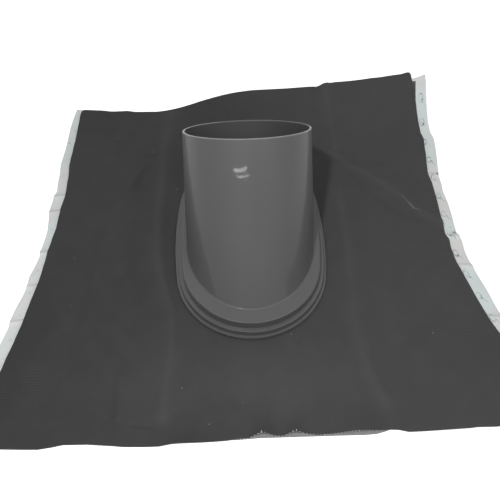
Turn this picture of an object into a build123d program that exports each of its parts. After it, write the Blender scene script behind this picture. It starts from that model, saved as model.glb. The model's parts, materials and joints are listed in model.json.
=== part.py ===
from build123d import *
from math import atan2, cos, radians, sin, tan
import os

# Pipe flashing boot: a moulded collar on a soft, nearly square flashing sheet. Millimetres, +Z up.
# The collar's frame has its origin where the tube's axis meets the plateau, in plan. +Y is the way the
# tube leans, and the sheet's flat middle lies on z = 0. At the end every piece is moved by the same
# amount, so that the origin is under the middle of the whole part.

# Tube
BORE_R = 65.6
RIM_WALL = 2.2
RIM_ROUND = 0.5
TUBE_FOOT_R = 71.8
TUBE_LENGTH = 123.0
TUBE_LEAN = 35.1
BORE_LAND = 25.0
WALL = 2.2

# Base of the collar: a plateau and two steps, all parallel ovals. The shelves are what the plateau
# leaves beside, before and behind the tube's foot.
SIDE_SHELF = 7.0
FRONT_SHELF = 18.3
BACK_SHELF = 49.9
OVAL_END_SHARPENING = 3.1
PLATEAU_RISE = 10.8
STEP_RISE = 7.7
FLANGE_THICKNESS = 2.0
STEP_WIDTH = 4.9
FLANGE_WIDTH = 3.2
DRAFT = 3.0
PLATEAU_ROUND = 1.4
STEP_ROUND = 0.8
FOOT_FILLET = 2.0

# Sheet, at the back edge, where it is narrowest
SHEET_WIDTH = 459.0
SHEET_DEPTH = 455.0
SHEET_THICKNESS = 2.4
SHEET_FRONT = -215.5
SHEET_LEFT = -228.0
HOLE_INSET = 2.0
WELD_GAP = 0.05

# How far the sheet's side edges are pulled outwards at the front, over which length, and how sharply
LEFT_FLARE = 47.5
LEFT_FLARE_LENGTH = 300.0
LEFT_FLARE_POWER = 1.7
RIGHT_FLARE = 48.0
RIGHT_FLARE_LENGTH = 205.0
RIGHT_FLARE_POWER = 1.2

# How high the sheet is bent up, and how far from its edges the bends begin
BACK_LIFT = 34.0
BACK_BEND = 88.0
BACK_BEND_FROM_LEFT = 100.0
BACK_BEND_RISE = 146.0
BACK_RIGHT_LIFT = 21.0
BACK_RIGHT_WIDTH = 138.0
BACK_RIGHT_DEPTH = 200.0
BACK_LEFT_LIFT = 6.0
BACK_LEFT_SPAN = 90.0
FRONT_RIGHT_LIFT = 29.0
FRONT_RIGHT_SPAN = 150.0
SIDE_RISE = 31.0
SIDE_CLEARANCE = 0.6
WAVE_LIFT = 5.0
WAVE_DEPTH = 46.0
WAVES = ((6.0, 26.0), (50.0, 30.0), (104.0, 40.0), (-74.0, 38.0))

# Adhesive strips under the side edges, and their liners
STRIP_WIDTH = 24.0
STRIP_THICKNESS = 1.5
STRIP_EDGE = 1.5
LINER_THICKNESS = 0.3
LINER_REACH = 16.0
LAY_GAP = 0.1

# How far cutting bodies run past the faces that they open
OVERRUN = 1.0

# Fineness of the sheet's surface: rows of points across and along it
ACROSS = 40
ALONG = 30
SIDE_ACROSS = 3

FLANGE_BOTTOM = SHEET_THICKNESS + WELD_GAP
FLANGE_TOP = FLANGE_BOTTOM + FLANGE_THICKNESS
STEP_TOP = FLANGE_TOP + STEP_RISE
PLATEAU_TOP = STEP_TOP + PLATEAU_RISE
RIM_R = BORE_R + RIM_WALL
FOOT_HALF_LENGTH = TUBE_FOOT_R / cos(radians(TUBE_LEAN))
OVAL_HALF_WIDTH = TUBE_FOOT_R + SIDE_SHELF
OVAL_HALF_LENGTH = FOOT_HALF_LENGTH + (FRONT_SHELF + BACK_SHELF) / 2
OVAL_END_R = OVAL_HALF_WIDTH - OVAL_END_SHARPENING
OVAL_SHIFT = (BACK_SHELF - FRONT_SHELF) / 2
SHEET_BACK = SHEET_FRONT + SHEET_DEPTH
SHEET_RIGHT = SHEET_LEFT + SHEET_WIDTH
SIDE_LIFT = STRIP_THICKNESS + LINER_THICKNESS + 2 * LAY_GAP + SIDE_CLEARANCE


def oval(grow, z):
    """Face of an oval of four tangent arcs, two ends and two long sides, grown outwards by grow."""
    half_width = OVAL_HALF_WIDTH + grow
    half_length = OVAL_HALF_LENGTH + grow
    end_r = OVAL_END_R + grow
    end_y = half_length - end_r
    side_r = (half_width**2 + end_y**2 - end_r**2) / (2 * (half_width - end_r))
    turn = atan2(end_y, side_r - half_width)
    join_x = end_r * cos(turn)
    join_y = end_y + end_r * sin(turn)
    centre = Vector(0, OVAL_SHIFT, z)
    corners = [(join_x, -join_y), (join_x, join_y), (-join_x, join_y), (-join_x, -join_y)]
    middles = [(half_width, 0), (0, half_length), (-half_width, 0), (0, -half_length)]
    arcs = []
    for i, middle in enumerate(middles):
        points = [corners[i], middle, corners[(i + 1) % 4]]
        arcs.append(Edge.make_three_point_arc(*[centre + Vector(x, y, 0) for x, y in points]))
    return Face(Wire(arcs))


def drafted(grow_top, z_low, z_high):
    """Oval block whose side leans in by the draft towards its top, where it is grown by grow_top."""
    spread = (z_high - z_low) * tan(radians(DRAFT))
    return extrude(oval(grow_top + spread, z_low), z_high - z_low, dir=(0, 0, 1), taper=DRAFT)


def tube_plane(along):
    """Plane across the tube's axis, at the distance along it from the plateau."""
    lean = radians(TUBE_LEAN)
    axis = Vector(0, sin(lean), cos(lean))
    return Plane(origin=Vector(0, 0, PLATEAU_TOP) + axis * along, x_dir=(1, 0, 0), z_dir=axis)


def above(z):
    """Large block over the height z, to trim the tube where it meets the plateau."""
    size = 4 * TUBE_LENGTH
    return Pos(0, 0, z + size / 2) * Box(size, size, size)


def tube_solid(foot_r, top_r, length, beyond):
    """Cone along the tube's axis, from beyond below the plateau to length above it."""
    slope = (foot_r - top_r) / length
    return Solid.make_cone(foot_r + slope * beyond, top_r, length + beyond, tube_plane(-beyond))


def pipe_collar():
    """Leaning tube on its stepped base, hollow and open at both ends."""
    beyond = TUBE_FOOT_R * tan(radians(TUBE_LEAN)) + PLATEAU_TOP
    flange = drafted(STEP_WIDTH + FLANGE_WIDTH, FLANGE_BOTTOM, FLANGE_TOP)
    step = drafted(STEP_WIDTH, FLANGE_BOTTOM, STEP_TOP)
    plateau = drafted(0, FLANGE_BOTTOM, PLATEAU_TOP)
    base = plateau + step + flange
    base = fillet(outer_edges(base, 0, PLATEAU_TOP), PLATEAU_ROUND)
    base = fillet(outer_edges(base, STEP_WIDTH, STEP_TOP), STEP_ROUND)
    tube = tube_solid(TUBE_FOOT_R, RIM_R, TUBE_LENGTH, beyond)
    rim = tube.edges().filter_by(GeomType.CIRCLE).sort_by(Axis.Z)[-1]
    tube = fillet(rim, RIM_ROUND) & above(PLATEAU_TOP - WALL / 2)
    outside = base + tube
    outside = fillet([edge for edge in outside.edges() if on_tube_foot(edge)], FOOT_FILLET)

    step_hollow = drafted(STEP_WIDTH - WALL, FLANGE_BOTTOM - OVERRUN, STEP_TOP - WALL)
    plateau_hollow = drafted(-WALL, FLANGE_BOTTOM - OVERRUN, PLATEAU_TOP - WALL)
    cone_length = TUBE_LENGTH - BORE_LAND
    bore_cone = tube_solid(TUBE_FOOT_R - WALL, BORE_R, cone_length, beyond)
    bore_cone = bore_cone & above(PLATEAU_TOP - 1.5 * WALL)
    land = Solid.make_cylinder(BORE_R, BORE_LAND + OVERRUN, tube_plane(cone_length))
    return outside - (step_hollow + plateau_hollow + bore_cone + land)


def outer_edges(base, grow, z):
    """Edges of the base at height z that lie on the oval grown by grow."""
    line = oval(grow, z).outer_wire()
    return [edge for edge in base.edges() if line.distance_to(edge @ 0.5) < 0.01]


def on_tube_foot(edge):
    """Whether an edge is where the tube's outside meets the plateau."""
    box = edge.bounding_box()
    level = abs(box.min.Z - PLATEAU_TOP) < 0.01 and abs(box.max.Z - PLATEAU_TOP) < 0.01
    middle = edge @ 0.5
    return level and (middle.X / TUBE_FOOT_R) ** 2 + (middle.Y / FOOT_HALF_LENGTH) ** 2 < 1.05


def ramp(value, start, end):
    """Smooth rise from 0 at start to 1 at end."""
    t = min(1.0, max(0.0, (value - start) / (end - start)))
    return t * t * (3 - 2 * t)


def bend(distance, reach):
    """Upward bend: 1 at distance 0 from an edge, and 0 from reach onwards."""
    return max(0.0, 1 - distance / reach) ** 2


def flare(y, amount, length, power):
    """How far a side edge is pulled outwards at y."""
    return amount * max(0.0, 1 - (y - SHEET_FRONT) / length) ** power


def left_edge(y):
    """X of the sheet's left edge."""
    return SHEET_LEFT - flare(y, LEFT_FLARE, LEFT_FLARE_LENGTH, LEFT_FLARE_POWER)


def right_edge(y):
    """X of the sheet's right edge."""
    return SHEET_RIGHT + flare(y, RIGHT_FLARE, RIGHT_FLARE_LENGTH, RIGHT_FLARE_POWER)


def corner_bend(from_side, from_end, width, depth):
    """Upward bend of a corner, from the distances to its two edges."""
    return bend(from_side, width) * bend(from_end, depth)


def lift(x, y):
    """Height of the sheet's underside: flat under the collar, raised at its edges and corners."""
    from_left, from_right = x - left_edge(y), right_edge(y) - x
    from_front, from_back = y - SHEET_FRONT, SHEET_BACK - y
    rise_from = SHEET_LEFT + BACK_BEND_FROM_LEFT
    back = BACK_LIFT * ramp(x, rise_from, rise_from + BACK_BEND_RISE) * bend(from_back, BACK_BEND)
    corners = (BACK_RIGHT_LIFT * corner_bend(from_right, from_back, BACK_RIGHT_WIDTH, BACK_RIGHT_DEPTH)
               + BACK_LEFT_LIFT * corner_bend(from_left, from_back, BACK_LEFT_SPAN, BACK_LEFT_SPAN)
               + FRONT_RIGHT_LIFT * corner_bend(from_right, from_front, FRONT_RIGHT_SPAN, FRONT_RIGHT_SPAN))
    strip_reach = STRIP_EDGE + STRIP_WIDTH
    sides = SIDE_LIFT * ramp(-min(from_left, from_right), -strip_reach - SIDE_RISE, -strip_reach)
    wave = sum(max(0.0, 1 - ((x - at) / half) ** 2) ** 3 for at, half in WAVES)
    return back + corners + sides + WAVE_LIFT * bend(from_front, WAVE_DEPTH) * wave


def layer(x_from, x_to, top, thickness, across):
    """Piece of even thickness that follows the sheet's form between two side lines.

    Cross-sections along the sheet, each a spline with its parallel below, are joined by one smooth loft.
    The piece's top lies at top over the form.
    """
    shares = [i / across for i in range(across + 1)]
    sections = []
    for j in range(ALONG + 1):
        y = SHEET_FRONT + SHEET_DEPTH * j / ALONG
        low, high = x_from(y), x_to(y)
        xs = [low + (high - low) * share for share in shares]
        upper_points = [Vector(x, y, lift(x, y) + top) for x in xs]
        lower_points = [point - Vector(0, 0, thickness) for point in upper_points]
        upper = Edge.make_spline(upper_points, parameters=shares)
        lower = Edge.make_spline(lower_points, parameters=shares)
        high_side = Edge.make_line(upper @ 1, lower @ 1)
        low_side = Edge.make_line(lower @ 0, upper @ 0)
        sections.append(Wire([upper, high_side, lower, low_side]))
    return Solid.make_loft(sections)


def flashing_sheet():
    """Soft sheet with the oval hole under the collar."""
    sheet = layer(left_edge, right_edge, SHEET_THICKNESS, SHEET_THICKNESS, ACROSS)
    punch = Solid.extrude(oval(-HOLE_INSET, -SHEET_THICKNESS), Vector(0, 0, 3 * SHEET_THICKNESS))
    return sheet - punch


def side_layer(side, inner, outer, top, thickness):
    """Piece along one side edge, from inner to outer, both measured outwards from the edge."""
    if side == "left":
        x_from, x_to = lambda y: left_edge(y) - outer, lambda y: left_edge(y) - inner
    else:
        x_from, x_to = lambda y: right_edge(y) + inner, lambda y: right_edge(y) + outer
    return layer(x_from, x_to, top, thickness, SIDE_ACROSS)


def adhesive_strip(side):
    """Sticky strip under one side edge of the sheet."""
    return side_layer(side, -STRIP_EDGE - STRIP_WIDTH, -STRIP_EDGE, -LAY_GAP, STRIP_THICKNESS)


def release_liner(side):
    """Pale film on the strip's underside, which sticks out past the sheet's edge."""
    top = -2 * LAY_GAP - STRIP_THICKNESS
    return side_layer(side, -STRIP_EDGE - STRIP_WIDTH, LINER_REACH, top, LINER_THICKNESS)


def build():
    """All pieces by name, moved so that the origin is under the middle of the part."""
    pieces = {"pipe_collar": pipe_collar(), "flashing_sheet": flashing_sheet()}
    for side in ("left", "right"):
        pieces["adhesive_strip_" + side] = adhesive_strip(side)
        pieces["release_liner_" + side] = release_liner(side)
    boxes = [piece.bounding_box() for piece in pieces.values()]
    left, right = min(box.min.X for box in boxes), max(box.max.X for box in boxes)
    front, back = min(box.min.Y for box in boxes), max(box.max.Y for box in boxes)
    middle = Vector((left + right) / 2, (front + back) / 2, min(box.min.Z for box in boxes))
    print("moved by", -middle)
    return {name: Pos(-middle) * piece for name, piece in pieces.items()}


os.makedirs("parts", exist_ok=True)
for name, piece in build().items():
    export_step(piece, os.path.join("parts", name + ".step"))
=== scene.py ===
import json
import math

import bpy
import numpy as np
from mathutils import Matrix, Vector


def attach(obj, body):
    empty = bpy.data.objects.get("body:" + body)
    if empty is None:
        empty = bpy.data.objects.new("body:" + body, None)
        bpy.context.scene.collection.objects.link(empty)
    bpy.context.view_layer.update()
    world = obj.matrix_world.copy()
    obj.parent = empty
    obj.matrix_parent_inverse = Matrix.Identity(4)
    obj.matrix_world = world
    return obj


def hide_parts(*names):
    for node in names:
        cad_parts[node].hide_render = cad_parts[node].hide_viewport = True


# Looks of a pipe flashing boot: a moulded collar on a soft square sheet, with sticky strips and their
# pale liners under both side edges. Lengths of the piece are worked out in millimetres about the hub,
# the point where the tube's axis meets the plateau, and turned to metres when a mesh is made.

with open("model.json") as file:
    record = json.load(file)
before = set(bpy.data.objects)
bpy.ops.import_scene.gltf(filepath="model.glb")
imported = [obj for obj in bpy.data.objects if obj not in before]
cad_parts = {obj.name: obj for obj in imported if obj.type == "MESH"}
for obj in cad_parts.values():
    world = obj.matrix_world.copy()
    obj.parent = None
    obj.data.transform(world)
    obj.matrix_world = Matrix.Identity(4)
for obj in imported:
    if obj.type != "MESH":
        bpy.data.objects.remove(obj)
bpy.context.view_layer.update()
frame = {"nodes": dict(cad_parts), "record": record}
MM = 0.001

# The hub, from the bore that the collar offers to the pipe
BORE = next(mount for mount in frame["record"]["mounts"] if mount["name"] == "pipe_bore")
HUB_TO_BORE = 110.5
HUB = np.array(BORE["pos_m"]) / MM - HUB_TO_BORE * np.array(BORE["axis"])
HUB_HEIGHT = 22.95

# The sheet at its narrowest, and how far its side edges are pulled outwards at the front
SHEET_WIDTH = 459.0
SHEET_DEPTH = 455.0
SHEET_THICKNESS = 2.4
SHEET_FRONT = -215.5
SHEET_LEFT = -228.0
SHEET_RIGHT = SHEET_LEFT + SHEET_WIDTH
SHEET_BACK = SHEET_FRONT + SHEET_DEPTH
LEFT_FLARE = 47.5
LEFT_FLARE_LENGTH = 300.0
LEFT_FLARE_POWER = 1.7
RIGHT_FLARE = 48.0
RIGHT_FLARE_LENGTH = 205.0
RIGHT_FLARE_POWER = 1.2

# How high the sheet is bent up, and how far from its edges the bends begin
BACK_LIFT = 34.0
BACK_BEND = 88.0
BACK_BEND_FROM_LEFT = 100.0
BACK_BEND_RISE = 146.0
BACK_RIGHT_LIFT = 21.0
BACK_RIGHT_WIDTH = 138.0
BACK_RIGHT_DEPTH = 200.0
BACK_LEFT_LIFT = 6.0
BACK_LEFT_SPAN = 90.0
FRONT_RIGHT_LIFT = 29.0
FRONT_RIGHT_SPAN = 150.0
SIDE_LIFT = 2.6
SIDE_RISE = 31.0

# Scallops of the front edge: how far they reach back, and the place, half width and height of each
WAVE_DEPTH = 30.0
WAVES = ((2.6, 15.0, 5.5), (34.5, 14.0, 5.5), (92.0, 30.0, 3.5), (-74.0, 42.0, 2.0))

# Where the cut edges leave their smooth lines: place along the edge, and how far outwards
LEFT_CUT = ((-216, 0), (-170, -0.4), (-130, 0.5), (-90, -0.6), (-60, 0.3), (-37, -0.5), (-10, 0.7),
            (7, 1.7), (39, 0.1), (68, 0.9), (88, -1.1), (105, -0.9), (123, -0.4), (142, 1.2), (163, 0.3),
            (181, -0.6), (210, -1.6), (228, -2.4), (240, -2.6))
RIGHT_CUT = ((-216, 0), (-150, 0.6), (-100, -0.5), (-60, 0.3), (-30, -0.5), (-13, 0.5), (2, 1.5),
             (10, -1.3), (30, -0.5), (59, 0.1), (88, 0.2), (103, -2.0), (112, -1.2), (132, 1.2),
             (150, 2.6), (160, 3.4), (168, 0.8), (190, -0.6), (212, -2.2), (228, -5.0), (232, -6.8),
             (240, -6.8))
FRONT_CUT = ((-276, 0), (-208, 2.4), (-196, 1.0), (-185, -1.0), (-162, -0.4), (-150, 0.8), (-139, 1.8),
             (-128, 3.0), (-94, 4.3), (-82, 2.8), (-31, 1.4), (-20, -0.2), (-10, -0.6), (2.6, -4.4),
             (14, -2.0), (22, -1.2), (34.5, -4.4), (46, -2.4), (56, -0.8), (68, -1.4), (92, -2.8),
             (112, -2.8), (125, -3.0), (133, -2.6), (142, -0.2), (199, 0.4), (206, 0), (222, 1.3),
             (280, 0.8))
BAND_EDGE = ((-34, 0.8), (-20, 0.8), (0, -0.1), (40, 0.2), (80, 0.6), (100, 0.9), (112, 0.4), (118, -1.0),
             (126, -3.2))
BACK_CUT = ((-228, 0), (-186, 0), (-176, 1.5), (-164, 2.6), (-152, 0.3), (-120, -0.4), (-60, 0.3),
            (0, -1.2), (60, -0.6), (92, 0.4), (125, 3.8), (174, 3.0), (200, 0.2), (210, -0.6), (222, 0),
            (231, 0))
CORNER_ROUND = 7.0

# Creases and dents of the sheet: height, width, and the path on the plan
CREASES = (
    (-1.7, 7, ((-160, 176), (-146, 168), (-130, 158))),
    (1.6, 2.6, ((-171, 184), (-150, 172), (-121, 156))),
    (1.6, 4.5, ((-119, 161), (-137, 126), (-148, 96))),
    (2.3, 7.5, ((-100, 225), (-107, 164), (-106, 110), (-108, 40), (-107, -4), (-100, -38), (-88, -75),
                (-86, -123), (-91, -165), (-93, -190))),
    (-1.7, 8, ((-128, 150), (-131, 56), (-134, -10), (-153, -36))),
    (1.7, 9.5, ((-159, 200), (-186, 106), (-198, 28), (-211, -95))),
    (1.8, 7.5, ((-145, 110), (-160, 57), (-172, 6), (-180, -90))),
    (1.5, 4.5, ((-136, -150), (-135, -190))),
    (2.4, 6, ((108, 265), (114, 220), (118, 187), (120, 158))),
    (-1.6, 5, ((101, 270), (98, 205))),
    (-1.2, 2.5, ((109, 159), (116, 152))),
    (2.1, 4.2, ((112, 152), (140, 122), (171, 95), (190, 69), (206, 44), (231, 26))),
    (-1.7, 7, ((126, 134), (152, 84), (178, 56), (200, 36))),
    (1.2, 6, ((118, 128), (150, 118), (182, 118))),
    (2.0, 6.5, ((114, 80), (111, -34), (108, -108), (115, -153), (126, -185))),
    (-0.8, 4, ((107, -195), (116, -189), (125, -183))),
    (-0.8, 1.7, ((-121, -198), (-112, -200), (-103, -201))),
    (-0.4, 4, ((-41, -190), (-37, -188))),
    (-0.4, 4, ((-26, -174), (-24, -172))),
    (0.9, 7, ((-6, -150), (5, -179), (-3, -203))),
    (0.8, 7, ((-60, -160), (-48, -186), (-20, -190))),
)

# The height from which creases get a painted highlight along their crests, and how much wider than the
# crease the highlight is
CREST_HIGHLIGHT_FROM = 2.0
CREST_HIGHLIGHT_SPREAD = 1.3

# Small waves of the sheet's top: slow swells, a ripple that grows towards the side edges and a pucker
# that grows towards the front edge. Heights, radians per millimetre, and how far each wave's phase sways.
SWELL = 0.5
SWELL_ACROSS, SWELL_ALONG = 0.031, 0.027
SWAY_ACROSS, SWAY_ALONG = 0.021, 0.017
SWAYED_ACROSS, SWAYED_ALONG = 1.3, 0.8
SIDE_RIPPLE = 0.25
SIDE_RIPPLE_ALONG = 0.21
SIDE_RIPPLE_SWAY, SIDE_RIPPLE_SWAYED = 0.043, 3.0
FRONT_PUCKER = 0.6
PUCKER_ACROSS = 0.11
PUCKER_SWAY, PUCKER_SWAYED = 0.017, 2.0
EDGE_REACH = 30.0

# Where the creases and waves start beside the collar and are full, and their share on the underside
CALM_TO, CALM_FADE = 1.0, 16.0
BELOW_SHARE = 0.7

# Where the finish of the sheet changes: ribs near the side edges, and a dark painted shade just outside the
# collar's flange
RIBS_FROM, RIBS_FULL = 75.0, 20.0
COLLAR_SHADE_TO, COLLAR_SHADE_FADE = 0.6, 1.4

# Painted light on the sheet: its strength, where its lighter ramp starts and is full across the sheet, and
# its painted pool of light in front
LIGHT_POOL_STRENGTH = 0.6
LIGHT_RAMP_FROM, LIGHT_RAMP_FULL = -70.0, 230.0
LIGHT_POOL_Y = -165.0
LIGHT_POOL_WIDTH, LIGHT_POOL_DEPTH = 110.0, 45.0

# The oval of the collar's plateau, and the sheet's hole inside it
OVAL_HALF_WIDTH = 78.8
OVAL_HALF_LENGTH = 121.9
OVAL_END_R = 75.7
OVAL_SHIFT = 15.8
HOLE_INSET = 2.0
FLANGE_GROW = 8.1

# Strips and liners, and how far the liners stick out at each place along the sheet
STRIP_WIDTH = 24.0
STRIP_THICKNESS = 1.5
STRIP_EDGE = 1.5
LINER_THICKNESS = 0.3
LINER_REACH = 16.0
LAY_GAP = 0.1
LEFT_REACH = ((-216, 15.0), (-130, 15.2), (-90, 14.2), (-78, 15.0), (-57, 13.0), (-40, 12.4), (-27, 13.9),
              (1, 8.7), (9, 9.5), (35, 10.2), (66, 14.5), (90, 14.8), (98, 12.6), (108, 12.7),
              (151, 12.0), (208, 11.2), (232, 8.6), (240, 7.0))
RIGHT_REACH = ((-216, 15.5), (-110, 16.0), (-70, 16.8), (-47, 17.0), (-29, 16.3), (-10, 16.0), (4, 15.0),
               (25, 14.2), (60, 14.3), (77, 12.0), (105, 14.3), (136, 14.5), (185, 13.0), (212, 14.5),
               (228, 17.0), (240, 19.0))
LEFT_TRIM = -2.5
RIGHT_TRIM = 5.0
STRIP_TRIM = 9.0

# Folds across the liners as place and height, and how they and the flutter raise the film
LEFT_FOLDS = ((94, 1.6), (70, 0.8), (8, 2.4), (-36, 1.4), (-80, 1.8))
RIGHT_FOLDS = ((107, 0.9), (12, 2.6), (-29, 1.6), (-96, 1.3))
FOLD_SLANT = 0.3
FOLD_WIDTH = 3.2
FOLD_LINE = 1.1
FLUTTER, FLUTTER_ALONG = 0.5, 0.06
QUIVER, QUIVER_ALONG = 0.35, 0.17
LINER_RISE = 1.6
RISE_FROM = -2.0
STRIP_WOBBLE, STRIP_WOBBLE_ALONG = 0.4, 0.09

# Cut ends of the wire mesh inside the sheet, along the front edge: where they run from and to, their
# radius and sides, how far they stick out and how unevenly, how deep they start and how high they lie
WIRE_FROM = -24.0
WIRE_TO = 112.0
WIRE_PITCH = 3.3
WIRE_R = 0.34
WIRE_SIDES = 6
WIRE_SHORTEST, WIRE_SPREAD = 0.4, 1.0
WIRE_QUICK, WIRE_SLOW = 1.7, 0.37
WIRE_DEPTH = 1.0
WIRE_LEVEL = 0.3

# Painted shadow: a thin grey band on the ground below the raised front edge, where the floor's shadow lies
BAND_DEPTH = 14.0
BAND_HEIGHT = 0.35

# Fineness of the meshes
AROUND_FRONT = 230
AROUND_SIDE = 165
TOP_RINGS = 96
BOTTOM_RINGS = 16
LINER_COLUMNS, LINER_ROWS = 14, 300
STRIP_COLUMNS, STRIP_ROWS = 8, 120
BAND_COLUMNS, BAND_ROWS = 6, 120


def ramp(value, start, end):
    """Smooth rise from 0 at start to 1 at end, by the cubic 3t^2 - 2t^3."""
    t = np.clip((value - start) / (end - start), 0, 1)
    return t * t * (3 - 2 * t)


def bend(distance, reach):
    """Upward bend: the square of a straight fall from 1 at an edge to 0 at the given reach."""
    return np.clip(1 - distance / reach, 0, None) ** 2


def along_line(values, places):
    """Offset at each value, on straight lines between the given places."""
    return np.interp(values, [place for place, offset in places], [offset for place, offset in places])


def flare(y, amount, length, power):
    """How far a side edge is pulled outwards at y: a power of the share of the length that is left."""
    return amount * np.clip(1 - (y - SHEET_FRONT) / length, 0, None) ** power


def left_edge(y):
    """X of the sheet's smooth left edge at y."""
    return SHEET_LEFT - flare(y, LEFT_FLARE, LEFT_FLARE_LENGTH, LEFT_FLARE_POWER)


def right_edge(y):
    """X of the sheet's smooth right edge at y."""
    return SHEET_RIGHT + flare(y, RIGHT_FLARE, RIGHT_FLARE_LENGTH, RIGHT_FLARE_POWER)


def inside_edges(x, y):
    """Distance from each point across to the nearer smooth side edge."""
    return np.minimum(x - left_edge(y), right_edge(y) - x)


def form(x, y):
    """Height of the sheet's underside: bends up towards the back, three corners, both sides and the front.

    Each bend is a height times the squares of straight falls from its edges. The scallops are cubes of
    parabolas along the front edge.
    """
    from_left, from_right = x - left_edge(y), right_edge(y) - x
    from_front, from_back = y - SHEET_FRONT, SHEET_BACK - y
    rise_from = SHEET_LEFT + BACK_BEND_FROM_LEFT
    back = BACK_LIFT * ramp(x, rise_from, rise_from + BACK_BEND_RISE) * bend(from_back, BACK_BEND)
    back_right = BACK_RIGHT_LIFT * bend(from_right, BACK_RIGHT_WIDTH) * bend(from_back, BACK_RIGHT_DEPTH)
    back_left = BACK_LEFT_LIFT * bend(from_left, BACK_LEFT_SPAN) * bend(from_back, BACK_LEFT_SPAN)
    front_right = FRONT_RIGHT_LIFT * bend(from_right, FRONT_RIGHT_SPAN) * bend(from_front, FRONT_RIGHT_SPAN)
    strip_reach = STRIP_EDGE + STRIP_WIDTH
    sides = SIDE_LIFT * ramp(-np.minimum(from_left, from_right), -strip_reach - SIDE_RISE, -strip_reach)
    waves = sum(lift * np.clip(1 - ((x - at) / half) ** 2, 0, None) ** 3 for at, half, lift in WAVES)
    return back + back_right + back_left + front_right + sides + bend(from_front, WAVE_DEPTH) * waves


def path_distance(x, y, path):
    """Distance of each point to a line of straight runs."""
    near = np.full(np.shape(x), np.inf)
    for (ax, ay), (bx, by) in zip(path[:-1], path[1:]):
        run_x, run_y = bx - ax, by - ay
        share = np.clip(((x - ax) * run_x + (y - ay) * run_y) / (run_x**2 + run_y**2), 0, 1)
        near = np.minimum(near, np.hypot(x - ax - share * run_x, y - ay - share * run_y))
    return near


def crease(x, y, path, height, width):
    """Ridge along a path: a bell of the distance to it, fading out over the bell's width at the ends."""
    return height * np.exp(-((path_distance(x, y, path) / width) ** 2))


def details(x, y):
    """Creases, dents and ripples of the sheet's top, over its broad form.

    The creases' bells, a product of two slow sines, a quicker sine that grows towards the side edges,
    and one plus a sine that grows towards the front edge. All of it fades out beside the collar.
    """
    total = sum(crease(x, y, path, height, width) for height, width, path in CREASES)
    swell_across = np.sin(x * SWELL_ACROSS + SWAYED_ACROSS * np.sin(y * SWAY_ALONG))
    swell_along = np.sin(y * SWELL_ALONG + SWAYED_ALONG * np.sin(x * SWAY_ACROSS))
    total += SWELL * swell_across * swell_along
    ripple = np.sin(y * SIDE_RIPPLE_ALONG + SIDE_RIPPLE_SWAYED * np.sin(y * SIDE_RIPPLE_SWAY))
    total += SIDE_RIPPLE * ripple * ramp(-inside_edges(x, y), -EDGE_REACH, 0)
    pucker = 1 + np.sin(x * PUCKER_ACROSS + PUCKER_SWAYED * np.sin(x * PUCKER_SWAY))
    total += FRONT_PUCKER * ramp(-y, -SHEET_FRONT - EDGE_REACH, -SHEET_FRONT) * pucker
    return total * ramp(oval_excess(x, y), FLANGE_GROW + CALM_TO, FLANGE_GROW + CALM_FADE)


def oval_outline(count=720):
    """Points round the plateau's oval, as angle and radius about its own centre.

    Four arcs that meet in line: two end arcs round centres on the long axis, and two side arcs round
    centres on the short axis, whose radius follows from the half width and half length.
    """
    end_y = OVAL_HALF_LENGTH - OVAL_END_R
    side_r = (OVAL_HALF_WIDTH**2 + end_y**2 - OVAL_END_R**2) / (2 * (OVAL_HALF_WIDTH - OVAL_END_R))
    turn = math.atan2(end_y, side_r - OVAL_HALF_WIDTH)
    side_turns = np.linspace(-turn, turn, count // 4, endpoint=False)
    end_turns = np.linspace(turn, math.pi - turn, count // 4, endpoint=False)
    side_x = OVAL_HALF_WIDTH - side_r + side_r * np.cos(side_turns)
    side_y = side_r * np.sin(side_turns)
    end_x = OVAL_END_R * np.cos(end_turns)
    end_ys = end_y + OVAL_END_R * np.sin(end_turns)
    xs = np.concatenate([side_x, end_x, -side_x, -end_x])
    ys = np.concatenate([side_y, end_ys, -side_y, -end_ys])
    return np.unwrap(np.arctan2(ys, xs)), np.hypot(xs, ys)


OVAL_ANGLES, OVAL_RADII = oval_outline()


def oval_radius(x, y):
    """Radius of the plateau's oval, about its own centre, in the direction of each point."""
    start = OVAL_ANGLES[0]
    angles = (np.arctan2(y - OVAL_SHIFT, x) - start) % (2 * math.pi) + start
    round_angles = np.append(OVAL_ANGLES, start + 2 * math.pi)
    return np.interp(angles, round_angles, np.append(OVAL_RADII, OVAL_RADII[0]))


def oval_excess(x, y):
    """How far each point lies outside the plateau's oval, measured from its centre."""
    return np.hypot(x, y - OVAL_SHIFT) - oval_radius(x, y)


def new_mesh(name, points, faces, sharp_angle=40):
    """Object of the given name from points in millimetres about the hub's plan place, and its faces."""
    world = (points + HUB - np.array([0, 0, HUB_HEIGHT])) * MM
    mesh = bpy.data.meshes.new(name)
    mesh.from_pydata(world.tolist(), [], [row for group in faces for row in group.tolist()])
    mesh.validate()
    mesh.shade_smooth()
    mesh.set_sharp_from_angle(angle=math.radians(sharp_angle))
    piece = bpy.data.objects.new(name, mesh)
    bpy.context.collection.objects.link(piece)
    return piece


def mark(piece, name, amounts):
    """Stores a number at each point of a mesh, for a finish to read."""
    piece.data.attributes.new(name, "FLOAT", "POINT").data.foreach_set("value", amounts.astype(np.float32))


def stored(piece, name):
    """The numbers stored at the points of a mesh."""
    numbers = np.zeros(len(piece.data.vertices), np.float32)
    piece.data.attributes[name].data.foreach_get("value", numbers)
    return numbers


def grid_faces(first, rows, columns, closed=False, flip=False):
    """Four-cornered faces of a grid of points, numbered row by row from first."""
    wide = columns if closed else columns - 1
    row = np.arange(rows - 1)[:, None] * columns
    here = np.arange(wide)[None, :]
    there = (here + 1) % columns
    corners = [row + here, row + there, row + columns + there, row + columns + here]
    full = [np.broadcast_to(corner, (rows - 1, wide)) for corner in corners]
    faces = np.stack(full, axis=-1).reshape(-1, 4) + first
    return faces[:, ::-1] if flip else faces


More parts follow.
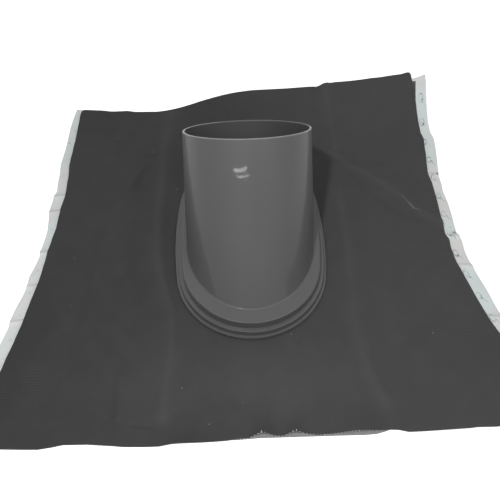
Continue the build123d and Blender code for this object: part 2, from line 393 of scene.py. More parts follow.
def side_line(y, side):
    """The real cut of a side edge."""
    if side == "left":
        return left_edge(y) - along_line(y, LEFT_CUT)
    return right_edge(y) + along_line(y, RIGHT_CUT)


def round_corner(xs, ys, corner_x, corner_y):
    """Rounds the border at one corner: points near it move to a quadratic curve between its two edges."""
    to_x, to_y = np.abs(xs - corner_x), np.abs(ys - corner_y)
    near = (to_x < CORNER_ROUND) & (to_y < CORNER_ROUND)
    t = 0.5 + 0.5 * np.clip((to_x - to_y) / CORNER_ROUND, -1, 1)
    in_x, in_y = -np.sign(corner_x) * CORNER_ROUND, -np.sign(corner_y) * CORNER_ROUND
    xs[near] = (corner_x + t**2 * in_x)[near]
    ys[near] = (corner_y + (1 - t) ** 2 * in_y)[near]


def sheet_border():
    """Points round the sheet's cut edge, starting at the front left corner: front, right, back, left."""
    across = np.linspace(0, 1, AROUND_FRONT, endpoint=False)
    along = np.linspace(0, 1, AROUND_SIDE, endpoint=False)
    left_y = SHEET_BACK - SHEET_DEPTH * along
    right_y = SHEET_FRONT + SHEET_DEPTH * along
    corners = [(side_line(y, side), y) for y in (SHEET_FRONT, SHEET_BACK) for side in ("left", "right")]
    (front_left, _), (front_right, _), (back_left, _), (back_right, _) = corners
    front_x = front_left + across * (front_right - front_left)
    back_x = back_right + across * (back_left - back_right)
    front_y, back_y = np.full(AROUND_FRONT, SHEET_FRONT), np.full(AROUND_FRONT, SHEET_BACK)
    xs = np.concatenate([front_x, side_line(right_y, "right"), back_x, side_line(left_y, "left")])
    ys = np.concatenate([front_y, right_y, back_y, left_y])
    for corner_x, corner_y in corners:
        round_corner(xs, ys, corner_x, corner_y)
    ys[:AROUND_FRONT] -= along_line(front_x, FRONT_CUT)
    back = slice(AROUND_FRONT + AROUND_SIDE, 2 * AROUND_FRONT + AROUND_SIDE)
    ys[back] += along_line(back_x, BACK_CUT)
    return xs, ys


def painted_light(x, y):
    """Painted light: lighter by a ramp to the right, plus a pool of light, a bell of x and y, in front of
    the collar.
    """
    cloud = np.exp(-((x / LIGHT_POOL_WIDTH) ** 2) - ((y - LIGHT_POOL_Y) / LIGHT_POOL_DEPTH) ** 2)
    return LIGHT_POOL_STRENGTH * ramp(x, LIGHT_RAMP_FROM, LIGHT_RAMP_FULL) + LIGHT_POOL_STRENGTH * cloud


def rubbed(x, y):
    """How much painted highlight the high creases get: their bells at height 1, a little wider, held to 1.
    """
    high = [(width, path) for height, width, path in CREASES if height >= CREST_HIGHLIGHT_FROM]
    return np.clip(sum(crease(x, y, path, 1, CREST_HIGHLIGHT_SPREAD * width) for width, path in high), 0, 1)


def flashing_sheet():
    """The sheet: rings of points from its oval hole out to its cut edge, on top and underneath.

    Each ring is a share of the way from the hole to the edge, along lines from the oval's centre.
    """
    edge_x, edge_y = sheet_border()
    reach = (oval_radius(edge_x, edge_y) - HOLE_INSET) / np.hypot(edge_x, edge_y - OVAL_SHIFT)
    hole_x, hole_y = edge_x * reach, OVAL_SHIFT + (edge_y - OVAL_SHIFT) * reach
    around = len(edge_x)
    layers = []
    for rings in (TOP_RINGS, BOTTOM_RINGS):
        share = np.linspace(0, 1, rings)[:, None]
        x = hole_x + share * (edge_x - hole_x)
        y = hole_y + share * (edge_y - hole_y)
        z = form(x, y) + details(x, y) * (1 if rings == TOP_RINGS else BELOW_SHARE)
        layers.append([x, y, z])
    layers[0][2] = layers[0][2] + SHEET_THICKNESS
    layers[1][2] = np.maximum(layers[1][2], form(layers[1][0], layers[1][1]))
    points = np.concatenate([np.stack(layer, axis=-1).reshape(-1, 3) for layer in layers])
    below = TOP_RINGS * around
    inner = np.arange(around)
    after = (inner + 1) % around
    outer_top = (TOP_RINGS - 1) * around
    outer_low = below + (BOTTOM_RINGS - 1) * around
    hole_wall = np.stack([inner, after, below + after, below + inner], axis=-1)
    edge_wall = np.stack([outer_top + after, outer_top + inner, outer_low + inner, outer_low + after],
                         axis=-1)
    faces = [
        grid_faces(0, TOP_RINGS, around, closed=True, flip=True),
        grid_faces(below, BOTTOM_RINGS, around, closed=True),
        hole_wall,
        edge_wall,
    ]
    sheet = new_mesh("flashing_sheet_formed", points, faces)
    x, y = points[:, 0], points[:, 1]
    mark(sheet, "near_side", ramp(-inside_edges(x, y), -RIBS_FROM, -RIBS_FULL))
    mark(sheet, "dusty", painted_light(x, y))
    mark(sheet, "rubbed", rubbed(x, y))
    # Painted shade: a dark ring on the sheet just outside the collar's flange
    gap = (oval_excess(x, y) - FLANGE_GROW - COLLAR_SHADE_TO) / COLLAR_SHADE_FADE
    mark(sheet, "near_collar", np.exp(-(np.clip(gap, 0, None) ** 2)))
    return sheet


def closed_layer(name, upper, lower, turned):
    """Thin layer between two grids of points, closed by a wall round their rims."""
    rows, columns = upper.shape[:2]
    count = rows * columns
    rim = np.concatenate([
        np.arange(columns),
        columns - 1 + columns * np.arange(1, rows),
        (rows - 1) * columns + np.arange(columns - 2, -1, -1),
        columns * np.arange(rows - 2, 0, -1),
    ])
    after = np.roll(rim, -1)
    wall = np.stack([rim, rim + count, after + count, after], axis=-1)
    faces = [
        grid_faces(0, rows, columns, flip=turned),
        grid_faces(count, rows, columns, flip=not turned),
        wall[:, ::-1] if turned else wall,
    ]
    return new_mesh(name, np.concatenate([upper.reshape(-1, 3), lower.reshape(-1, 3)]), faces)


def side_layer(name, side, inner, outer, top, thickness, trim, columns, rows):
    """Strip or liner along one side edge: a grid from inner to outer, and its parallel underneath.

    Each point keeps its place on the flat strip, for the finish: metres from the edge and along it.
    """
    y = np.linspace(SHEET_FRONT, SHEET_BACK - trim, rows)[:, None]
    share = np.linspace(0, 1, columns)[None, :]
    edge = left_edge(y) if side == "left" else right_edge(y)
    offset = inner + share * (outer(y) - inner)
    x = edge + (-offset if side == "left" else offset)
    yy = np.broadcast_to(y, x.shape)
    z = form(x, yy) + top(yy, offset)
    upper = np.stack([x, yy, z], axis=-1)
    piece = closed_layer(name, upper, upper - np.array([0, 0, thickness]), turned=side == "left")
    mark(piece, "from_edge", np.tile(offset.ravel(), 2) * MM)
    mark(piece, "along_edge", np.tile(yy.ravel(), 2) * MM)
    return piece


def liner(side):
    """Release liner: lies on the strip, and sticks out past the edge with folds across it.

    Past the edge it rises by two sines along the edge and by a bell at each slanting fold.
    """
    if side == "left":
        reaches, cut, folds, trim = LEFT_REACH, LEFT_CUT, LEFT_FOLDS, LEFT_TRIM
    else:
        reaches, cut, folds, trim = RIGHT_REACH, RIGHT_CUT, RIGHT_FOLDS, RIGHT_TRIM

    def outer(y):
        return along_line(y, reaches) + along_line(y, cut)

    def bell(y, offset, at, width):
        return np.exp(-(((y - at + FOLD_SLANT * offset) / width) ** 2))

    def top(y, offset):
        past = ramp(offset, RISE_FROM, LINER_REACH)
        flutter = FLUTTER * np.sin(y * FLUTTER_ALONG) + QUIVER * np.sin(y * QUIVER_ALONG + 1)
        creases = sum(height * bell(y, offset, at, FOLD_WIDTH) for at, height in folds)
        return past * (flutter + creases + LINER_RISE) - 2 * LAY_GAP - STRIP_THICKNESS

    piece = side_layer("release_liner_" + side + "_film", side, -STRIP_EDGE - STRIP_WIDTH, outer, top,
                       LINER_THICKNESS, trim, LINER_COLUMNS, LINER_ROWS)
    offset, y = (stored(piece, name) / MM for name in ("from_edge", "along_edge"))
    mark(piece, "fold", sum(bell(y, offset, at, FOLD_LINE) for at, height in folds))
    return piece


def strip(side):
    """Sticky strip under the sheet's side edge, its outer edge a slow sine."""

    def outer(y):
        return -STRIP_EDGE + STRIP_WOBBLE * np.sin(y * STRIP_WOBBLE_ALONG)

    def top(y, offset):
        return np.full(np.shape(offset), -LAY_GAP)

    return side_layer("adhesive_strip_" + side + "_bead", side, -STRIP_EDGE - STRIP_WIDTH, outer, top,
                      STRIP_THICKNESS, STRIP_TRIM, STRIP_COLUMNS, STRIP_ROWS)


def wire_ends():
    """Cut ends of the sheet's inlaid wire mesh: short six-sided stubs along the front edge.

    Each stub is a ring of points carried from inside the sheet to its own length past the edge, the
    square of a product of two sines of its place.
    """
    places = np.arange(WIRE_FROM, WIRE_TO, WIRE_PITCH)
    uneven = np.sin(places * WIRE_QUICK) * np.sin(places * WIRE_SLOW + 1)
    lengths = WIRE_SHORTEST + WIRE_SPREAD * np.abs(uneven) ** 2
    turns = np.linspace(0, 2 * math.pi, WIRE_SIDES, endpoint=False)
    front = np.full(len(places), SHEET_FRONT)
    heights = form(places, front) + details(places, front) + WIRE_LEVEL * SHEET_THICKNESS
    fronts = SHEET_FRONT - along_line(places, FRONT_CUT)
    ring_x = places[:, None] + WIRE_R * np.cos(turns)
    ring_z = heights[:, None] + WIRE_R * np.sin(turns)
    rings = [np.stack([ring_x, np.broadcast_to(ring_y[:, None], ring_x.shape), ring_z], axis=-1)
             for ring_y in (fronts + WIRE_DEPTH, fronts - lengths)]
    points = np.stack(rings, axis=1).reshape(-1, 3)
    near = 2 * WIRE_SIDES * np.arange(len(places))[:, None] + np.arange(WIRE_SIDES)
    far = near + WIRE_SIDES
    sides = [near, far, np.roll(far, -1, axis=1), np.roll(near, -1, axis=1)]
    walls = np.stack(sides, axis=-1).reshape(-1, 4)
    caps = np.concatenate([far[:, ::-1], near])
    return new_mesh("wire_mesh_ends", points, [walls, caps])


def floor_shadow_band():
    """Painted shadow below the raised front edge: a thin grey grid on the ground, lower to the back."""
    x = np.linspace(BAND_EDGE[0][0], BAND_EDGE[-1][0], BAND_ROWS)[:, None]
    share = np.linspace(0, 1, BAND_COLUMNS)[None, :]
    front = SHEET_FRONT - along_line(x, BAND_EDGE)
    y = front + share * (SHEET_FRONT + BAND_DEPTH - front)
    heights = np.broadcast_to(BAND_HEIGHT * np.exp(-share), y.shape)
    upper = np.stack([np.broadcast_to(x, y.shape), y, heights], axis=-1)
    return closed_layer("floor_shadow_band", upper, upper * (1, 1, 0), turned=True)


# The stretch of patterns that follow the plan, and how far in millimetres the collar's zones blur
FROM_ABOVE = (1, 1, 0)
BLUR = 0.2


class Amount:
    """A number that varies over a surface. Sums and products on it add their Math nodes."""

    def __init__(self, finish, socket):
        self.finish = finish
        self.socket = socket

    def combine(self, operation, left, right):
        made = self.finish.node("ShaderNodeMath", {"operation": operation}, {0: left, 1: right})
        return Amount(self.finish, made.outputs[0])

    def __add__(self, other):
        return self.combine("ADD", self, other)

    __radd__ = __add__

    def __mul__(self, other):
        return self.combine("MULTIPLY", self, other)

    __rmul__ = __mul__

    def __sub__(self, other):
        return self.combine("SUBTRACT", self, other)

    def __rsub__(self, other):
        return self.combine("SUBTRACT", other, self)

    def __mod__(self, other):
        return self.combine("FLOORED_MODULO", self, other)

    def __pow__(self, other):
        return self.combine("POWER", self, other)

    def __abs__(self):
        return self.combine("ABSOLUTE", self, 0.0)


class Finish:
    """The nodes of one material, or of the world, and short calls that add to them."""

    def __init__(self, owner):
        self.owner = owner
        self.tree = owner.node_tree
        self.tree.nodes.clear()
        kind = "World" if owner.id_type == "WORLD" else "Material"
        self.output = self.node("ShaderNodeOutput" + kind)

    def node(self, kind, settings=None, sockets=None):
        """Adds a node, sets its settings and then fills its sockets with numbers, colours or links."""
        made = self.tree.nodes.new(kind)
        for key, value in (settings or {}).items():
            if key == "stops":
                self.set_stops(made.color_ramp, value)
            else:
                setattr(made, key, value)
        for key, value in (sockets or {}).items():
            self.fill(made.inputs[key], value)
        return made

    def set_stops(self, line, stops):
        """Gives a ramp its stops, each a place and a grey level."""
        while len(line.elements) < len(stops):
            line.elements.new(0.5)
        for element, (place, level) in zip(line.elements, stops):
            element.position = place
            element.color = (level, level, level, 1)

    def fill(self, socket, value):
        """Links a socket to a varying amount or another socket, or sets it to a constant."""
        if isinstance(value, Amount):
            self.tree.links.new(value.socket, socket)
        elif isinstance(value, bpy.types.NodeSocket):
            self.tree.links.new(value, socket)
        else:
            socket.default_value = value

    def place(self, stretch=(1, 1, 1)):
        """Object coordinates in metres, stretched for a pattern."""
        here = self.node("ShaderNodeTexCoord").outputs["Object"]
        return self.node("ShaderNodeMapping", None, {"Vector": here, "Scale": stretch}).outputs[0]

    def noise(self, scale, detail=3, rough=0.5, stretch=(1, 1, 1)):
        """Cloudy pattern, as an amount from 0 to 1."""
        values = {"Vector": self.place(stretch), "Scale": scale, "Detail": detail, "Roughness": rough}
        return Amount(self, self.node("ShaderNodeTexNoise", None, values).outputs["Fac"])

    def levels(self, amount, stops):
        """An amount read through a ramp of grey levels."""
        made = self.node("ShaderNodeValToRGB", {"stops": stops}, {"Fac": amount})
        return Amount(self, made.outputs["Color"])

    def marked(self, name):
        """A number stored at the piece's points."""
        return Amount(self, self.node("ShaderNodeAttribute", {"attribute_name": name}).outputs["Fac"])

    def inside(self, distance, reach):
        """1 where a distance is well under the reach, falling to 0 at it."""
        settings = {"interpolation_type": "SMOOTHSTEP"}
        values = {0: distance, 1: reach * 0.4, 2: reach, 3: 1.0, 4: 0.0}
        return Amount(self, self.node("ShaderNodeMapRange", settings, values).outputs[0])

    def vector(self, operation, first, second, output=0):
        """Vector Math node on two vectors."""
        made = self.node("ShaderNodeVectorMath", {"operation": operation}, {0: first, 1: second})
        return made.outputs[output]

    def spot(self, x, y, radius):
        """1 inside a small round spot, seen from above."""
        away = self.vector("DISTANCE", self.place(FROM_ABOVE), on_plan(x, y), "Value")
        return self.inside(Amount(self, away), radius * MM)

    def stroke(self, start, end, width):
        """1 on a straight stroke between two places, seen from above."""
        near, far = Vector(on_plan(*start)), Vector(on_plan(*end))
        run = far - near
        off = self.vector("SUBTRACT", self.place(FROM_ABOVE), near[:])
        share = self.vector("DOT_PRODUCT", off, (run / run.length_squared)[:], "Value")
        settings = {"operation": "ADD", "use_clamp": True}
        held = self.node("ShaderNodeMath", settings, {0: share, 1: 0.0}).outputs[0]
        values = {0: run[:], "Scale": held}
        along = self.node("ShaderNodeVectorMath", {"operation": "SCALE"}, values).outputs[0]
        away = self.vector("DISTANCE", off, along, "Value")
        return self.inside(Amount(self, away), width * MM)

    def within_tube(self, radius):
        """1 nearer to the tube's axis than the radius, and 0 a little further out."""
        off = self.vector("SUBTRACT", self.place(), (HUB * MM).tolist())
        away = self.vector("LENGTH", self.vector("CROSS_PRODUCT", off, BORE["axis"]), (0, 0, 0), "Value")
        values = {0: away, 1: (radius - BLUR) * MM, 2: (radius + BLUR) * MM, 3: 1.0, 4: 0.0}
        return Amount(self, self.node("ShaderNodeMapRange", None, values).outputs[0])

    def past_along_tube(self, distance):
        """1 further along the tube's axis than the distance from the hub, and 0 a little before it."""
        off = self.vector("SUBTRACT", self.place(), (HUB * MM).tolist())
        along = self.vector("DOT_PRODUCT", off, BORE["axis"], "Value")
        values = {0: along, 1: (distance - BLUR) * MM, 2: (distance + BLUR) * MM}
        return Amount(self, self.node("ShaderNodeMapRange", None, values).outputs[0])

    def blend(self, share, low, high):
        """Colour between two colours by a share."""
        return self.node("ShaderNodeMix", {"data_type": "RGBA"}, {0: share, 6: low, 7: high}).outputs[2]

    def bump(self, height, strength, distance):
        """Fine relief from a height pattern, in metres."""
        values = {"Strength": strength, "Distance": distance, "Height": height}
        return self.node("ShaderNodeBump", None, values).outputs[0]

    def surface(self, **values):
        """The shader, with its sockets named by their words joined with underscores."""
        sockets = {key.replace("_", " "): value for key, value in values.items()}
        shader = self.node("ShaderNodeBsdfPrincipled", None, sockets)
        self.fill(self.output.inputs["Surface"], shader.outputs[0])
        return self.owner

    def seen(self):
        """1 for rays that the camera sees, mirrors or looks through, and 0 for those that light things."""
        rays = self.node("ShaderNodeLightPath").outputs
        sums = Amount(self, rays["Is Camera Ray"]) + rays["Is Glossy Ray"] + rays["Is Transmission Ray"]
        return sums.combine("MINIMUM", sums, 1.0)


def new_finish(name):
    """Finish of a new material."""
    material = bpy.data.materials.new(name)
    material.use_nodes = True
    return Finish(material)


def on_plan(x, y):
    """World place in metres, at height 0, of a place of the sheet in millimetres about the hub."""
    return ((x + HUB[0]) * MM, (y + HUB[1]) * MM, 0.0)


def rgb(red, green, blue):
    """Colour of a socket from its linear parts."""
    return (red, green, blue, 1)


def grey(level):
    """Grey of a socket from its linear level."""
    return rgb(level, level, level)


# The collar's zones: inside the tube it gets a painted shade, and its rim a painted highlight where its
# rounded edge catches light
INSIDE_R = 66.0
RIM_FROM = 122.2
MOULDED_DARK, MOULDED_LIGHT = grey(0.102), grey(0.117)
SCUFFED = grey(0.16)
TUBE_PAINTED_SHADE = grey(0.055)
RIM_PAINTED_HIGHLIGHT = grey(0.24)


def collar_plastic():
    """Satin moulded plastic: even dark grey, a faint orange-peel, and a thin gloss that glints."""
    finish = new_finish("collar_plastic")
    cloud = finish.noise(22, detail=4)
    peel = finish.noise(350, detail=2)
    fine = finish.noise(900, detail=2)
    streaks = finish.noise(60, detail=5, rough=0.7, stretch=(1, 1, 6))
    scuffs = finish.levels(streaks, [(0.55, 0), (0.8, 1)])
    colour = finish.blend(cloud, MOULDED_DARK, MOULDED_LIGHT)
    colour = finish.blend(scuffs * 0.1, colour, SCUFFED)
    # painted shade inside the tube
    colour = finish.blend(finish.within_tube(INSIDE_R) * 0.5, colour, TUBE_PAINTED_SHADE)
    # painted highlight along the rim
    colour = finish.blend(finish.past_along_tube(RIM_FROM) * 0.8, colour, RIM_PAINTED_HIGHLIGHT)
    roughness = 0.42 + cloud * 0.06 + scuffs * 0.06
    normal = finish.bump(peel * 0.7 + fine * 0.3, strength=0.1, distance=0.0002)
    return finish.surface(Base_Color=colour, Roughness=roughness, Normal=normal, Specular_IOR_Level=0.3,
                          Coat_Weight=0.22, Coat_Roughness=0.034)


# Pale specks on the sheet as place and radius, and the scratch on the right crease
SPECKS = ((-89, 95, 0.8), (-74, -164, 0.8), (39, -110, 0.8), (187, -115, 0.9), (-201, -7, 0.6),
          (-198, -67, 0.5), (44, -114, 0.4), (-47, -201, 0.8), (-14, -181, 0.5), (44, -172, 0.4),
          (150, 176, 0.4))
SCRATCH = ((189, 71), (196, 57), (200, 49), (207, 45))
SCRATCH_WIDTHS = (0.6, 1.1, 0.8)

# Greys of the sheet, and the chalky tone of its specks and scratch
COMPOUND_DARK, COMPOUND_LIGHT = grey(0.049), grey(0.069)
GRIME = grey(0.045)
SIDE_TONE = grey(0.042)
# Painted light of the sheet: lighter to the right and in a pool in front of the collar
PAINTED_LIGHT_GREY = grey(0.11)
# Painted highlight along the crests of the high creases
CREST_HIGHLIGHT_GREY = grey(0.13)
# Painted shade round the collar's flange
COLLAR_PAINTED_SHADE = grey(0.012)
CHALKY = rgb(0.45, 0.45, 0.44)


def sheet_compound():
    """Soft flashing compound: mottled dark grey, finely ribbed at its sides, with specks and a scratch."""
    finish = new_finish("sheet_compound")
    broad = finish.noise(5.5, detail=4, rough=0.6)
    cloud = finish.noise(38, detail=5, rough=0.6)
    fine = finish.noise(700, detail=3)
    side = finish.marked("near_side")
    mottle = finish.levels(broad * 0.6 + cloud * 0.4, [(0.35, 0), (0.68, 1)])
    colour = finish.blend(mottle, COMPOUND_DARK, COMPOUND_LIGHT)
    smears = finish.noise(26, detail=6, rough=0.7, stretch=(1, 0.35, 1))
    colour = finish.blend(finish.levels(smears, [(0.5, 0), (0.75, 1)]) * 0.35, colour, GRIME)
    colour = finish.blend(side * 0.25, colour, SIDE_TONE)
    # painted light: lighter to the right and in a pool in front of the collar
    colour = finish.blend(finish.marked("dusty") * (0.45 + cloud * 0.24), colour, PAINTED_LIGHT_GREY)
    # painted highlight along the crests of the high creases
    colour = finish.blend(finish.marked("rubbed") * (0.08 + cloud * 0.16), colour, CREST_HIGHLIGHT_GREY)
    # painted shade just outside the collar's flange
    colour = finish.blend(finish.marked("near_collar") * 0.45, colour, COLLAR_PAINTED_SHADE)
    pale = sum(finish.spot(x, y, radius) for x, y, radius in SPECKS)
    worn = finish.levels(finish.noise(900, detail=2), [(0.4, 0.25), (0.6, 1)])
    for start, end, width in zip(SCRATCH[:-1], SCRATCH[1:], SCRATCH_WIDTHS):
        pale = pale + finish.stroke(start, end, width) * worn * 0.6
    colour = finish.blend(pale * 0.55, colour, CHALKY)
    roughness = 0.56 + cloud * 0.12 - side * 0.04
    settings = {"wave_type": "BANDS", "bands_direction": "Y"}
    values = {"Vector": finish.place(), "Scale": 110, "Distortion": 7.0, "Detail": 1, "Detail Scale": 0.3}
    weave = finish.node("ShaderNodeTexWave", settings, values)
    patches = finish.levels(finish.noise(15, detail=2), [(0.44, 0), (0.58, 1)])
    ribs = Amount(finish, weave.outputs["Fac"]) * (side * patches * 1.6)
    normal = finish.bump(ribs + fine * 0.35, strength=0.4, distance=0.0004)
    return finish.surface(Base_Color=colour, Roughness=roughness, Normal=normal, Specular_IOR_Level=0.16)


TACK_DARK, TACK_LIGHT = rgb(0.018, 0.018, 0.019), rgb(0.035, 0.035, 0.036)


def tacky_compound():
    """Black sealing compound, slightly shiny and uneven."""
    finish = new_finish("tacky_compound")
    cloud = finish.noise(60, detail=4)
    colour = finish.blend(cloud, TACK_DARK, TACK_LIGHT)
    normal = finish.bump(cloud, strength=0.3, distance=0.0006)
    return finish.surface(Base_Color=colour, Roughness=0.25 + cloud * 0.2, Normal=normal)


# The liners' print, in metres: one ring, one slanting tick and one smudge in each pitch along the edge.
# Places are from the sheet's edge outwards, and from the start of the pitch.
MARK_PITCH = 0.0285
MARK_LINE = 0.0006
RING_R = 0.0026
RING_OUT, RING_AT = 0.0052, 0.016
RING_SQUASH = 0.62
TICK_OUT, TICK_AT = 0.0082, 0.011
TICK_SLOPE = 0.55
TICK_HALF = 0.0065
SMUDGE_OUT, SMUDGE_AT = 0.0065, 0.0125
SMUDGE_R = 0.0030
# Painted shadow spots at the liners' folds, as place and radius
FOLD_SHADOW_SPOTS = ((242, 104, 2.4), (241.5, 13, 2.6), (-232, 10, 1.4))

# Colours of the liners, and how strongly each one is printed
PRINT_STRENGTHS = {"left": 0.12, "right": 0.9}
FILM_COOL, FILM_WARM = rgb(0.89, 0.97, 0.96), rgb(0.94, 0.92, 0.90)
FILM_SOILED = rgb(0.72, 0.71, 0.70)
# Painted shade along the liners' folds
FOLD_SHADE = rgb(0.40, 0.37, 0.36)
PRINT_INK = rgb(0.22, 0.38, 0.42)
SMUDGED_INK = rgb(0.06, 0.055, 0.06)
# Painted shadow at the folds, also the grey of the dirt dots
FOLD_SHADOW_AND_DIRT = rgb(0.16, 0.15, 0.15)


def liner_film(name, print_strength):
    """Pale release film: cool white with warmer patches, painted shade along its folds and in spots at
    them, dark dirt dots, and a print of plain rings and ticks.
    """
    finish = new_finish(name)
    cloud = finish.noise(70, detail=4, rough=0.6)
    patches = finish.levels(finish.noise(14, detail=3), [(0.46, 0), (0.62, 1)])
    colour = finish.blend(patches, FILM_COOL, FILM_WARM)
    colour = finish.blend(finish.levels(cloud, [(0.62, 0), (0.8, 1)]) * 0.35, colour, FILM_SOILED)
    # painted shade along each fold across the film
    colour = finish.blend(finish.marked("fold") * 0.45, colour, FOLD_SHADE)

    out = finish.marked("from_edge")
    at = (finish.marked("along_edge") + 1.0) % MARK_PITCH
    from_ring = ((out - RING_OUT) ** 2 + ((at - RING_AT) * RING_SQUASH) ** 2) ** 0.5
    ring = finish.inside(abs(from_ring - RING_R), MARK_LINE)
    from_tick = abs(out - TICK_OUT + (at - TICK_AT) * TICK_SLOPE)
    tick = finish.inside(from_tick, MARK_LINE) * finish.inside(abs(at - TICK_AT), TICK_HALF)
    faint = finish.levels(finish.noise(85, detail=2), [(0.38, 0.1), (0.6, 1)])
    colour = finish.blend((ring + tick) * faint * print_strength, colour, PRINT_INK)
    smudge = finish.inside(((out - SMUDGE_OUT) ** 2 + (at - SMUDGE_AT) ** 2) ** 0.5, SMUDGE_R)
    torn = finish.levels(finish.noise(330, detail=2), [(0.5, 0), (0.62, 1)])
    colour = finish.blend(smudge * torn * print_strength, colour, SMUDGED_INK)

    dots = finish.levels(finish.noise(190, detail=1), [(0.74, 0), (0.78, 1)])
    # painted shadow spots at the folds, and dark dirt dots
    shadow_spots_and_dots = sum(finish.spot(x, y, radius) for x, y, radius in FOLD_SHADOW_SPOTS) + dots * 0.5
    colour = finish.blend(shadow_spots_and_dots * 0.7, colour, FOLD_SHADOW_AND_DIRT)
    normal = finish.bump(finish.noise(90, detail=3), strength=0.3, distance=0.0010)
    return finish.surface(Base_Color=colour, Roughness=0.42 + cloud * 0.15, Normal=normal)


# Greys of the painted shadow below the front edge
SHADOW_BAND_DARK, SHADOW_BAND_PALE = grey(0.27), grey(0.40)


def floor_shadow_grey():
    """Light grey of the painted shadow below the front edge, in uneven clouds."""
    finish = new_finish("floor_shadow_grey")
    cloud = finish.noise(160, detail=3)
    colour = finish.blend(cloud, SHADOW_BAND_DARK, SHADOW_BAND_PALE)
    return finish.surface(Base_Color=colour, Roughness=0.5 + cloud * 0.2)


WIRE_DULL, WIRE_BRIGHT = rgb(0.62, 0.62, 0.63), rgb(0.86, 0.86, 0.87)


def wire_metal():
    """Bright cut aluminium, dulled in patches."""
    finish = new_finish("wire_metal")
    cloud = finish.noise(400, detail=2)
    colour = finish.blend(cloud, WIRE_DULL, WIRE_BRIGHT)
    return finish.surface(Base_Color=colour, Roughness=0.45 + cloud * 0.25, Metallic=0.4)


def give(piece, material):
    """Gives a piece one material."""
    piece.data.materials.clear()
    piece.data.materials.append(material)


def dress(piece, material, slot, *nodes):
    """Finishes a new piece that stands for the given nodes."""
    give(piece, material)
    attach(piece, "root")
    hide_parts(*nodes)
    return piece


# The camera of the photograph: where the hub appears in the picture, from how far, and from which side
IMAGE_SIZE = 500
FOCAL_PIXELS = 550.0
SENSOR_MM = 36.0
HUB_PIXEL = (250.18, 238.72)
CAMERA_DISTANCE = 622.1
CAMERA_ELEVATION = 54.54
CAMERA_AZIMUTH = -1.61
CAMERA_ROLL = -0.71


def seen_from(azimuth, elevation):
    """Direction from the hub at an azimuth from the front towards the right, and an elevation."""
    turn, climb = math.radians(azimuth), math.radians(elevation)
    return Vector((math.sin(turn) * math.cos(climb), -math.cos(turn) * math.cos(climb), math.sin(climb)))


def make_camera():
    """Camera that looks at the hub and is then turned so that the hub falls on its pixel."""
    back = seen_from(CAMERA_AZIMUTH, CAMERA_ELEVATION)
    right = Vector((0, 0, 1)).cross(back).normalized()
    up = back.cross(right)
    tilt = Matrix.Rotation(math.radians(CAMERA_ROLL), 3, back)
    rows = Matrix((tilt @ right, tilt @ up, back))
    centre = IMAGE_SIZE / 2
    off = Vector((HUB_PIXEL[0] - centre, centre - HUB_PIXEL[1], -FOCAL_PIXELS)).normalized()
    aim = Vector((0, 0, -1)).rotation_difference(off).to_matrix()
    data = bpy.data.cameras.new("camera")
    data.sensor_width = SENSOR_MM
    data.lens = SENSOR_MM * FOCAL_PIXELS / IMAGE_SIZE
    data.clip_start = 0.01
    camera = bpy.data.objects.new("camera", data)
    turned = (aim @ rows).transposed()
    hub = Vector((HUB * MM).tolist())
    camera.matrix_world = Matrix.Translation(hub + back * CAMERA_DISTANCE * MM) @ turned.to_4x4()
    bpy.context.collection.objects.link(camera)
    bpy.context.scene.camera = camera


# The floor in metres, a hair under the sheet, and its tone and the glow that whitens what is seen of it
FLOOR_REACH = 6.0
FLOOR_DROP = 0.0004
FLOOR_TONE = 0.86
FLOOR_GLOW = 0.86


def make_floor():
    """Pale floor that keeps the shadow and turns white where it is lit."""
    ends = (-FLOOR_REACH, FLOOR_REACH)
    corners = [(x, y, 0) for y in ends for x in ends]
    mesh = bpy.data.meshes.new("floor")
    mesh.from_pydata(corners, [], [(0, 1, 3, 2)])
    floor = bpy.data.objects.new("floor", mesh)
    floor.location.z = -FLOOR_DROP
    bpy.context.collection.objects.link(floor)
    finish = new_finish("floor")
    matt = finish.node("ShaderNodeBsdfDiffuse", None, {"Color": grey(FLOOR_TONE)})
    glow = finish.node("ShaderNodeEmission", None, {"Color": grey(1), "Strength": FLOOR_GLOW})
    both = finish.node("ShaderNodeAddShader", None, {0: matt.outputs[0], 1: glow.outputs[0]})
    values = {0: finish.seen(), 1: matt.outputs[0], 2: both.outputs[0]}
    pick = finish.node("ShaderNodeMixShader", None, values)
    finish.fill(finish.output.inputs["Surface"], pick.outputs[0])
    mesh.materials.append(finish.owner)


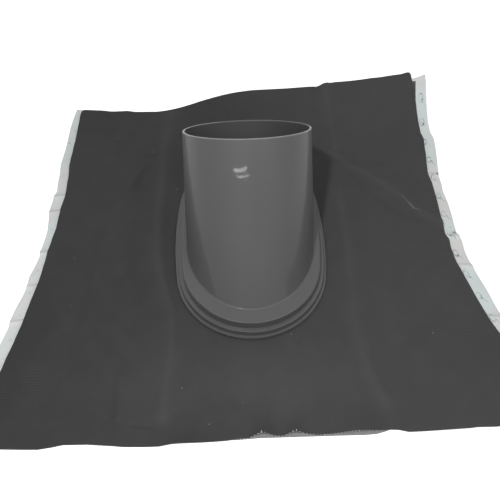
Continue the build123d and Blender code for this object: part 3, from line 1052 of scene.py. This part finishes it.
# Lamps, all aimed at the hub: name, azimuth from the front towards the right, elevation, turn about
# the line to the hub, distance in metres, width, height and watts. The keys throw the tube's shadow,
# and the glints are long thin lamps that shine on the tube's front.
SKY = 0.15
LAMPS = (
    ("key_near", -25, 68, 0, 0.65, 0.03, 0.03, 1.25),
    ("key_far", -31, 60, 0, 1.8, 0.09, 0.09, 3.6),
    ("fill_right", 50, 45, 0, 1.4, 0.8, 0.8, 3.4),
    ("behind", 180, 55, 0, 1.5, 1.0, 0.6, 0.9),
    ("glint_wide", -16.3, 29.1, 9.8, 1.53, 0.60, 0.010, 0.70),
    ("glint_thin", -11.3, 28.9, 7.0, 1.53, 0.57, 0.004, 0.40),
)


def make_light():
    """An even sky, and lamps that face the tube's foot from their azimuth, elevation and distance."""
    world = bpy.data.worlds.new("sky")
    world.use_nodes = True
    finish = Finish(world)
    plain = finish.node("ShaderNodeBackground", None, {"Color": grey(1), "Strength": SKY})
    white = finish.node("ShaderNodeBackground", None, {"Color": grey(1), "Strength": 1.0})
    values = {0: finish.seen(), 1: plain.outputs[0], 2: white.outputs[0]}
    pick = finish.node("ShaderNodeMixShader", None, values)
    finish.fill(finish.output.inputs["Surface"], pick.outputs[0])
    bpy.context.scene.world = world

    for name, azimuth, elevation, roll, distance, width, height, watts in LAMPS:
        data = bpy.data.lights.new(name, "AREA")
        data.shape = "RECTANGLE"
        data.size = width
        data.size_y = height
        data.energy = watts
        lamp = bpy.data.objects.new(name, data)
        away = seen_from(azimuth, elevation)
        lamp.location = Vector((HUB * MM).tolist()) + away * distance
        facing = away.to_track_quat("Z", "Y").to_matrix() @ Matrix.Rotation(math.radians(roll), 3, "Z")
        lamp.rotation_euler = facing.to_euler()
        bpy.context.collection.objects.link(lamp)


make_camera()
bpy.context.scene.view_settings.view_transform = "Standard"

sheet = dress(flashing_sheet(), sheet_compound(), "sheet", "flashing_sheet")
tack = tacky_compound()
for hand, print_strength in PRINT_STRENGTHS.items():
    film = liner_film("liner_film_" + hand, print_strength)
    dress(strip(hand), tack, "adhesive", "adhesive_strip_" + hand)
    dress(liner(hand), film, "liner_film", "release_liner_" + hand)
give(frame["nodes"]["pipe_collar"], collar_plastic())
# The wire ends, and the painted shadow band below the front edge
for extra, material in ((wire_ends(), wire_metal()), (floor_shadow_band(), floor_shadow_grey())):
    give(extra, material)
    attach(extra, "root")

make_floor()
make_light()
